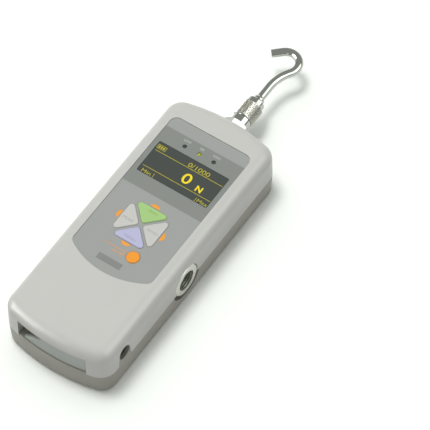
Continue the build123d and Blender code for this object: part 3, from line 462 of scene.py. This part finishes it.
# Handle bosses: turned aluminium bushes through the long walls, with a coarse tapped socket
# for a screw-in handle. The thread is a helical ridge that runs down the whole bore.
def start_tree(name, inputs):
    """A geometry tree with its named inputs, each with its kind and starting value."""
    tree = bpy.data.node_groups.new(name, "GeometryNodeTree")
    for label, kind, value in inputs:
        entry = tree.interface.new_socket(name=label, in_out="INPUT", socket_type=kind)
        if value is not None:
            entry.default_value = value
    tree.interface.new_socket(name="Mesh", in_out="OUTPUT", socket_type="NodeSocketGeometry")
    return tree, tree.nodes.new("NodeGroupInput").outputs


def end_tree(tree, geometry, metal):
    """Ends a tree with real geometry in its metal."""
    real = tree.nodes.new("GeometryNodeRealizeInstances")
    finish = tree.nodes.new("GeometryNodeSetMaterial")
    tree_end = tree.nodes.new("NodeGroupOutput")
    tree.links.new(geometry, real.inputs["Geometry"])
    tree.links.new(real.outputs["Geometry"], finish.inputs["Geometry"])
    tree.links.new(metal, finish.inputs["Material"])
    tree.links.new(finish.outputs["Geometry"], tree_end.inputs["Mesh"])


def grown_mesh(name, tree, sizes):
    """The plain mesh that a tree makes from the sizes given for its named inputs."""
    holder = bpy.data.objects.new(name, bpy.data.meshes.new(name + " seed"))
    scene.collection.objects.link(holder)
    growth = holder.modifiers.new("growth", "NODES")
    growth.node_group = tree
    for label, value in sizes.items():
        growth[tree.interface.items_tree[label].identifier] = value
    bpy.context.view_layer.update()
    ready = holder.evaluated_get(bpy.context.evaluated_depsgraph_get())
    mesh = bpy.data.meshes.new_from_object(ready)
    holder.modifiers.clear()
    bpy.data.objects.remove(holder)
    mesh.name = name
    return mesh


turned_metal = plain_finish("turned aluminium", paint(205, 204, 198), 0.35, 1.0)
# The thread's metal is painted much darker than the bush, as painted shade down the bore.
thread_metal_with_painted_shade = plain_finish("thread metal with painted shade", paint(122, 124, 116), 0.35, 1.0)
thread_tree, thread_in = start_tree(
    "helical thread",
    (
        ("Bore radius", "NodeSocketFloat", 0.01),
        ("Length", "NodeSocketFloat", 0.01),
        ("Turns", "NodeSocketFloat", 5.0),
        ("Ridge radius", "NodeSocketFloat", 0.001),
        ("Metal", "NodeSocketMaterial", None),
    ),
)
steps_per_turn = 40
ridge_sides = 4
spiral = thread_tree.nodes.new("GeometryNodeCurveSpiral")
spiral.inputs["Resolution"].default_value = steps_per_turn
ridge = thread_tree.nodes.new("GeometryNodeCurvePrimitiveCircle")
ridge.inputs["Resolution"].default_value = ridge_sides
sweep = thread_tree.nodes.new("GeometryNodeCurveToMesh")
sweep.inputs["Fill Caps"].default_value = True
thread_links = thread_tree.links
thread_links.new(thread_in["Bore radius"], spiral.inputs["Start Radius"])
thread_links.new(thread_in["Bore radius"], spiral.inputs["End Radius"])
thread_links.new(thread_in["Length"], spiral.inputs["Height"])
thread_links.new(thread_in["Turns"], spiral.inputs["Rotations"])
thread_links.new(thread_in["Ridge radius"], ridge.inputs["Radius"])
thread_links.new(spiral.outputs["Curve"], sweep.inputs["Curve"])
thread_links.new(ridge.outputs["Curve"], sweep.inputs["Profile Curve"])
end_tree(thread_tree, sweep.outputs["Mesh"], thread_in["Metal"])

socket_radius = 6.92 * mm
socket_depth = 19.0 * mm
socket_mouth = 0.5 * mm
socket_pitch = 1.5 * mm
ridge_radius = 0.55 * mm
for boss, side in (("right_handle_boss", 1), ("left_handle_boss", -1)):
    smooth_copy(boss, boss + "_turning", turned_metal, "case")
    thread = grown_mesh(
        boss + "_thread",
        thread_tree,
        {
            "Bore radius": socket_radius,
            "Length": socket_depth,
            "Turns": socket_depth / socket_pitch,
            "Ridge radius": ridge_radius,
            "Metal": thread_metal_with_painted_shade,
        },
    )
    boss_low, boss_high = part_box(boss)
    thread_start = (boss_low + boss_high) / 2
    mouth_x = boss_high.x if side > 0 else boss_low.x
    thread_start.x = mouth_x - side * (socket_depth + socket_mouth)
    outwards = Matrix.Rotation(side * radians(90), 4, "Y")
    thread.transform(Matrix.Translation(thread_start) @ outwards)
    new_piece(boss + "_thread", thread, thread_metal_with_painted_shade, "case")

# Load line: the measuring shaft leaves the case through its seal, and a thin hexagon nut
# locks the sleeve on it. The nut is plated steel with chamfered corners, and it stands with
# one flat up and a little to the right.
bright_plate = plain_finish("bright nickel plate", paint(184, 185, 180), 0.06, 1.0)
nut = smooth_copy("lock_nut", "locking_nut", bright_plate, "shaft_body")
nut_low, nut_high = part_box("lock_nut")
nut_turn = Matrix.Rotation(radians(30), 4, "Y")
nut_centre = Matrix.Translation((nut_low + nut_high) / 2)
nut.data.transform(nut_centre @ nut_turn @ nut_centre.inverted())

# Sleeve: turned steel, nickel plated, with a plain foot, a grip for the knurl and a coned cap.
# The grip is turned smaller than the finished knurl by the height of its teeth.
sleeve_low, sleeve_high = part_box("hook_sleeve")
axis_z = (sleeve_low.z + sleeve_high.z) / 2
grip_radius = (sleeve_high.x - sleeve_low.x) / 2
sleeve_y, sleeve_end = sleeve_low.y, sleeve_high.y
knurl_depth = 0.42 * mm
core_radius = grip_radius - knurl_depth
foot_radius = 6.2 * mm
foot_length = 5.8 * mm
grip_length = 12.0 * mm
cap_radius = 5.7 * mm
cap_cone = 1.3 * mm
bore_radius = 5.06 * mm
bore_depth = 12.0 * mm
neck_radius = 2.7 * mm
groove = 0.35 * mm
edge = 0.25 * mm
ring_steps = 96
grip_y = sleeve_y + foot_length
cap_y = grip_y + grip_length


def turned(name, profile, steps):
    """A closed ring turned about the shaft's line from a loop of places along it and radii."""
    corners, faces = [], []
    for step in range(steps):
        angle = 2 * pi * step / steps
        corners += [(r * sin(angle), y, axis_z + r * cos(angle)) for y, r in profile]
    count = len(profile)
    for step in range(steps):
        ring, after = step * count, (step + 1) % steps * count
        for point in range(count):
            ahead = (point + 1) % count
            faces.append((ring + point, ring + ahead, after + ahead, after + point))
    mesh = bpy.data.meshes.new(name)
    mesh.from_pydata(corners, [], faces)
    shell = bmesh.new()
    shell.from_mesh(mesh)
    bmesh.ops.remove_doubles(shell, verts=shell.verts, dist=weld_distance)
    bmesh.ops.recalc_face_normals(shell, faces=shell.faces)
    shell.to_mesh(mesh)
    shell.free()
    shade_round_faces(mesh)
    return mesh


sleeve_profile = [
    (sleeve_y, bore_radius),
    (sleeve_y, foot_radius - edge),
    (sleeve_y + edge, foot_radius),
    (grip_y - groove, foot_radius),
    (grip_y - groove, foot_radius - groove),
    (grip_y, foot_radius - groove),
    (grip_y, core_radius - edge),
    (grip_y + edge, core_radius),
    (cap_y - edge, core_radius),
    (cap_y, core_radius - edge),
    (cap_y, cap_radius),
    (sleeve_end - cap_cone, cap_radius),
    (sleeve_end, cap_radius - cap_cone),
    (sleeve_end, neck_radius),
    (sleeve_y + bore_depth, neck_radius),
    (sleeve_y + bore_depth, bore_radius),
]
sleeve_mesh = turned("sleeve_turning", sleeve_profile, ring_steps)
sleeve = new_piece("sleeve_turning", sleeve_mesh, bright_plate, "hook_body")
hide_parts("hook_sleeve")

# Knurl: rolled into the sleeve's grip with crossed wheels, which leave small four-sided teeth.
# Two sets of them interlock: the second stands half a step on and has one tooth fewer along.
knurl_tree, knurl_in = start_tree(
    "diamond knurl",
    (
        ("Core radius", "NodeSocketFloat", 0.01),
        ("Tooth height", "NodeSocketFloat", 0.001),
        ("Length", "NodeSocketFloat", 0.01),
        ("Teeth around", "NodeSocketInt", 40),
        ("Teeth along", "NodeSocketInt", 10),
        ("Metal", "NodeSocketMaterial", None),
    ),
)
knurl_links = knurl_tree.links
around_step = maths(knurl_tree, "DIVIDE", 2 * pi, knurl_in["Teeth around"])
along_step = maths(knurl_tree, "DIVIDE", knurl_in["Length"], knurl_in["Teeth along"])
tooth = knurl_tree.nodes.new("GeometryNodeMeshCone")
tooth.fill_type = "NGON"
tooth.inputs["Vertices"].default_value = 4
tooth.inputs["Radius Top"].default_value = 0.0
tooth.inputs["Radius Bottom"].default_value = 0.5
knurl_links.new(knurl_in["Tooth height"], tooth.inputs["Depth"])
tooth_size = knurl_tree.nodes.new("ShaderNodeCombineXYZ")
tooth_size.inputs["Z"].default_value = 1.0
knurl_links.new(around_step, tooth_size.inputs["X"])
knurl_links.new(along_step, tooth_size.inputs["Y"])
around_gaps = maths(knurl_tree, "SUBTRACT", knurl_in["Teeth around"], 1)
both_rows = knurl_tree.nodes.new("GeometryNodeJoinGeometry")
for row in range(2):
    row_teeth = maths(knurl_tree, "SUBTRACT", knurl_in["Teeth along"], row)
    row_gaps = maths(knurl_tree, "SUBTRACT", row_teeth, 1)
    grid = knurl_tree.nodes.new("GeometryNodeMeshGrid")
    knurl_links.new(maths(knurl_tree, "MULTIPLY", around_step, around_gaps), grid.inputs["Size X"])
    knurl_links.new(maths(knurl_tree, "MULTIPLY", along_step, row_gaps), grid.inputs["Size Y"])
    knurl_links.new(knurl_in["Teeth around"], grid.inputs["Vertices X"])
    knurl_links.new(row_teeth, grid.inputs["Vertices Y"])
    stand = knurl_tree.nodes.new("GeometryNodeInstanceOnPoints")
    knurl_links.new(grid.outputs["Mesh"], stand.inputs["Points"])
    knurl_links.new(tooth.outputs["Mesh"], stand.inputs["Instance"])
    knurl_links.new(tooth_size.outputs["Vector"], stand.inputs["Scale"])
    real_row = knurl_tree.nodes.new("GeometryNodeRealizeInstances")
    knurl_links.new(stand.outputs["Instances"], real_row.inputs["Geometry"])
    half_step = knurl_tree.nodes.new("ShaderNodeCombineXYZ")
    knurl_links.new(maths(knurl_tree, "MULTIPLY", around_step, row * 0.5), half_step.inputs["X"])
    shift = knurl_tree.nodes.new("GeometryNodeSetPosition")
    knurl_links.new(real_row.outputs["Geometry"], shift.inputs["Geometry"])
    knurl_links.new(half_step.outputs["Vector"], shift.inputs["Offset"])
    knurl_links.new(shift.outputs["Geometry"], both_rows.inputs["Geometry"])
flat_place = knurl_tree.nodes.new("GeometryNodeInputPosition")
flat = knurl_tree.nodes.new("ShaderNodeSeparateXYZ")
knurl_links.new(flat_place.outputs["Position"], flat.inputs["Vector"])
reach = maths(knurl_tree, "ADD", knurl_in["Core radius"], flat.outputs["Z"])
sine = maths(knurl_tree, "SINE", flat.outputs["X"])
cosine = maths(knurl_tree, "COSINE", flat.outputs["X"])
wrapped = knurl_tree.nodes.new("ShaderNodeCombineXYZ")
knurl_links.new(maths(knurl_tree, "MULTIPLY", reach, sine), wrapped.inputs["X"])
knurl_links.new(flat.outputs["Y"], wrapped.inputs["Y"])
knurl_links.new(maths(knurl_tree, "MULTIPLY", reach, cosine), wrapped.inputs["Z"])
wrap = knurl_tree.nodes.new("GeometryNodeSetPosition")
knurl_links.new(both_rows.outputs["Geometry"], wrap.inputs["Geometry"])
knurl_links.new(wrapped.outputs["Vector"], wrap.inputs["Position"])
end_tree(knurl_tree, wrap.outputs["Geometry"], knurl_in["Metal"])

knurl_sink = 0.02 * mm
teeth_around = 32
teeth_along = 9
knurl_plate = plain_finish("knurled nickel plate", paint(184, 182, 174), 0.22, 1.0)
knurl = grown_mesh(
    "sleeve_knurl",
    knurl_tree,
    {
        "Core radius": core_radius - knurl_sink,
        "Tooth height": knurl_depth + knurl_sink,
        "Length": grip_length - 2 * edge,
        "Teeth around": teeth_around,
        "Teeth along": teeth_along,
        "Metal": knurl_plate,
    },
)
knurl.transform(Matrix.Translation((0, (grip_y + cap_y) / 2, axis_z)))
new_piece("sleeve_knurl", knurl, knurl_plate, "hook_body")

# Hook: one length of steel rod, bent to an S so that its bowl hangs on the shaft's line.
# It is polished and plated, and its end is cut square.
smooth_copy("hook", "bent_hook", bright_plate, "hook_body")

# Door: the moulded cover over the data sockets turns on a steel pin and closes flush with the
# case's bottom end. Its free end is cut to a long slant, which leaves a gap for a finger.
door_plastic = plain_finish("door plastic", paint(184, 190, 184), 0.45)
add_grain(door_plastic, grain_size, grain_depth)
door = smooth_copy("connector_cover", "bay_door", door_plastic, "cover_body")
door_low, door_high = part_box("connector_cover")
tip_height = 1.2 * mm
slant_end_x = -0.7 * mm
slant_run = slant_end_x - door_low.x
slant_rise = door_high.z - door_low.z - tip_height
slanted = bmesh.new()
slanted.from_mesh(door.data)
cut = bmesh.ops.bisect_plane(
    slanted,
    geom=slanted.verts[:] + slanted.edges[:] + slanted.faces[:],
    plane_co=(door_low.x, 0, door_low.z + tip_height),
    plane_no=(-slant_rise, 0, slant_run),
    clear_outer=True,
)
rim_edges = [item for item in cut["geom_cut"] if isinstance(item, bmesh.types.BMEdge)]
bmesh.ops.edgenet_fill(slanted, edges=rim_edges)
bmesh.ops.recalc_face_normals(slanted, faces=slanted.faces)
slanted.to_mesh(door.data)
slanted.free()
plain_steel = plain_finish("plain steel", paint(190, 190, 188), 0.3, 1.0)
smooth_copy("cover_pin", "door_pin", plain_steel, "case")

# Sockets: the two data sockets behind the door have plain steel shells.
# The power jack has a black moulded body, deep in its own recess in the long wall.
black_plastic = plain_finish("black moulding", paint(38, 39, 40), 0.5)
smooth_copy("usb_socket", "usb_shell", plain_steel, "case")
smooth_copy("io_connector", "data_shell", plain_steel, "case")
smooth_copy("dc_jack", "power_jack", black_plastic, "case")

# Case screws: six black-oxide cross-head screws that draw the two halves together from
# behind. They stand in counterbores in the rear cover.
black_oxide = plain_finish("black oxide steel", paint(52, 52, 54), 0.4, 0.8)
smooth_copy("case_screws", "case_screw_set", black_oxide, "case")


# Floor: a sheet of matt white paper that the gauge lies on, just under its rear cover.
# It is plain white to look at and a little darker in the light that it throws back.
def sight(tree):
    """1 for what the camera, a mirror or glass sees, and 0 for light that falls on things."""
    rays = tree.nodes.new("ShaderNodeLightPath").outputs
    direct = maths(tree, "MAXIMUM", rays["Is Camera Ray"], rays["Is Glossy Ray"])
    return maths(tree, "MAXIMUM", direct, rays["Is Transmission Ray"])


floor_reach = 6.0
floor_z = -0.05 * mm
floor_outline = box_outline(-floor_reach, -floor_reach, floor_reach, floor_reach)
floor_mesh = bpy.data.meshes.new("floor")
floor_mesh.from_pydata([(x, y, floor_z) for x, y in floor_outline], [], [(0, 1, 2, 3)])
floor = bpy.data.objects.new("floor", floor_mesh)
scene.collection.objects.link(floor)
paper_for_light = (0.72, 0.72, 0.72, 1.0)
paper_in_sight = (1.08, 1.11, 1.07, 1.0)
floor_paper = plain_finish("floor paper", paper_for_light, 0.9)
paper_tree = floor_paper.node_tree
paper_tree.nodes["Principled BSDF"].inputs["Specular IOR Level"].default_value = 0.0
add_second_colour(floor_paper, sight(paper_tree), paper_for_light, paper_in_sight)
floor_mesh.materials.append(floor_paper)

# Room: dim and even, with a white backdrop. The plated metal and the rounded edges show its
# three windows: two to the right, halfway up, and a bright low one past the bottom left corner.
room = bpy.data.worlds.new("studio room")
scene.world = room
room.use_nodes = True
room_tree = room.node_tree
room_light = room_tree.nodes["Background"]
room_tint = (0.97, 1.0, 0.965, 1.0)
room_level = 0.35
mirrored_level = 0.42
backdrop_level = 1.0
room_light.inputs["Color"].default_value = room_tint
room_place = room_tree.nodes.new("ShaderNodeTexCoord")
mirrored_room = mirrored_level
for toward, rim, middle, glow in (
    ((0.64, 0.45, 0.62), 0.905, 0.93, 2.1),
    ((0.74, 0.05, 0.67), 0.90, 0.92, 2.1),
    ((-0.74, -0.54, 0.40), 0.90, 0.97, 12.0),
):
    facing = room_tree.nodes.new("ShaderNodeVectorMath")
    facing.operation = "DOT_PRODUCT"
    facing.inputs[1].default_value = toward
    window_glow = room_tree.nodes.new("ShaderNodeMapRange")
    window_glow.interpolation_type = "SMOOTHSTEP"
    window_glow.inputs["From Min"].default_value = rim
    window_glow.inputs["From Max"].default_value = middle
    window_glow.inputs["To Max"].default_value = glow
    room_tree.links.new(room_place.outputs["Object"], facing.inputs[0])
    room_tree.links.new(facing.outputs["Value"], window_glow.inputs["Value"])
    mirrored_room = maths(room_tree, "ADD", mirrored_room, window_glow.outputs["Result"])
room_rays = room_tree.nodes.new("ShaderNodeLightPath")
seen_room = room_tree.nodes.new("ShaderNodeMix")
seen_room.inputs["B"].default_value = backdrop_level
room_tree.links.new(room_rays.outputs["Is Camera Ray"], seen_room.inputs["Factor"])
room_tree.links.new(mirrored_room, seen_room.inputs["A"])
room_strength = room_tree.nodes.new("ShaderNodeMix")
room_strength.inputs["A"].default_value = room_level
room_tree.links.new(sight(room_tree), room_strength.inputs["Factor"])
room_tree.links.new(seen_room.outputs["Result"], room_strength.inputs["B"])
room_tree.links.new(room_strength.outputs["Result"], room_light.inputs["Strength"])

# Studio lamps: a small lamp and a broad one, both high and a little to the left of the gauge.
# They are round soft boxes, and no mirror shows them.
lamp_target = Vector((0.0, 0.03, 0.02))
lamp_distance = 4.0
for lamp_name, toward, across, watts in (
    ("near light", (-0.2, 0.0, 1.0), 1.2, 60.0),
    ("broad light", (-0.3, 0.2, 1.0), 4.5, 57.0),
):
    lamp_light = bpy.data.lights.new(lamp_name, "AREA")
    lamp_light.shape = "DISK"
    lamp_light.size = across
    lamp_light.energy = watts
    lamp = bpy.data.objects.new(lamp_name, lamp_light)
    scene.collection.objects.link(lamp)
    lamp.location = lamp_target + Vector(toward).normalized() * lamp_distance
    lamp.rotation_euler = (lamp.location - lamp_target).to_track_quat("Z", "Y").to_euler()
    lamp.visible_glossy = False

# Camera: a long lens high over the bottom right corner, so the gauge runs up to the right.
# It stands just under two metres away, and its axes are given as directions in the gauge's
# own frame.
camera_data = bpy.data.cameras.new("camera")
camera_data.sensor_width = 36.0
camera_data.lens = 270.886
camera_data.clip_end = 50.0
camera = bpy.data.objects.new("camera", camera_data)
scene.collection.objects.link(camera)
to_right = Vector((0.82739, 0.56153, -0.01066))
to_bottom = Vector((0.46343, -0.69331, -0.55186))
forward = Vector((-0.31727, 0.45166, -0.83387))
camera_place = Vector((0.640401, -0.835878, 1.636116))
camera_axes = Matrix((to_right, -to_bottom, -forward)).transposed().to_4x4()
camera.matrix_world = Matrix.Translation(camera_place) @ camera_axes
scene.camera = camera
